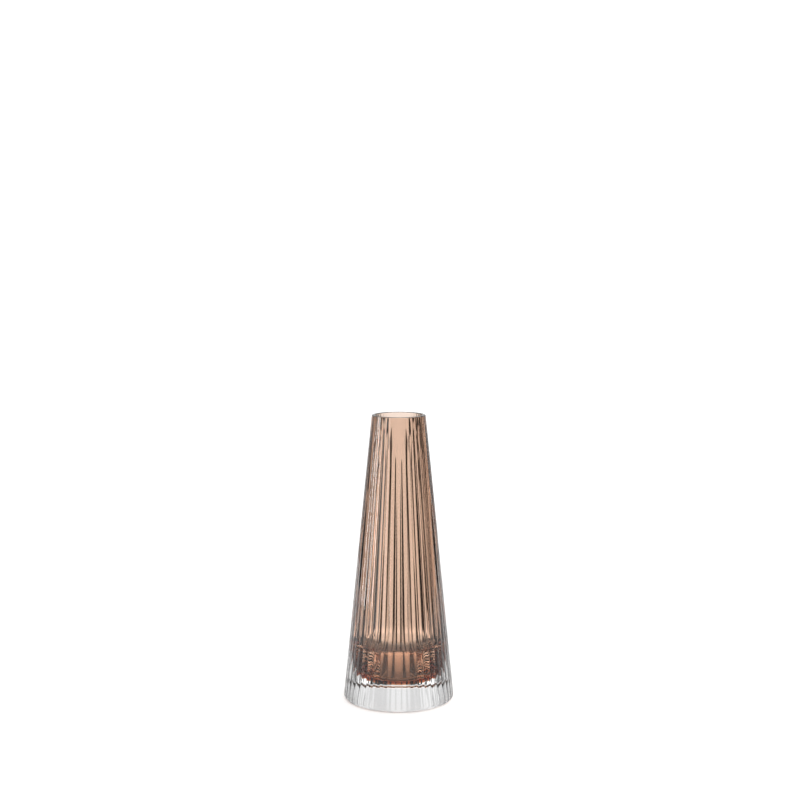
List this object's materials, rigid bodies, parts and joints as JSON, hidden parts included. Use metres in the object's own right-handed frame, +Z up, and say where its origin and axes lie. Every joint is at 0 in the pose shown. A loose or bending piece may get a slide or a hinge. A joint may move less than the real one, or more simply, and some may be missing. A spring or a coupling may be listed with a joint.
{
  "type": "glass bud vase",
  "caption": "Tall conical bud vase in cased glass: a sepia-tinted inner vessel inside a thick clear casing with fine vertical ribs and a heavy clear base, for single flower stems.",
  "frame": {"origin": "centre of the ring that the vase rests on, in the plane of the table", "axes": "+Z up along the vase's axis, from the base to the mouth; the vase is round, so +X and +Y have no front"},
  "size_m": [0.0696, 0.0696, 0.18],
  "materials": {
    "clear_glass": "clear polished glass with fine shallow vertical ribs outside, fire-polished lip",
    "sepia_glass": "transparent sepia brown glass with a rose cast, smooth inside, darker where it is thick at the floor"
  },
  "bodies": {
    "root": {"clear_glass_casing": "clear_glass", "sepia_glass_liner": "sepia_glass"}
  },
  "joints": []
}
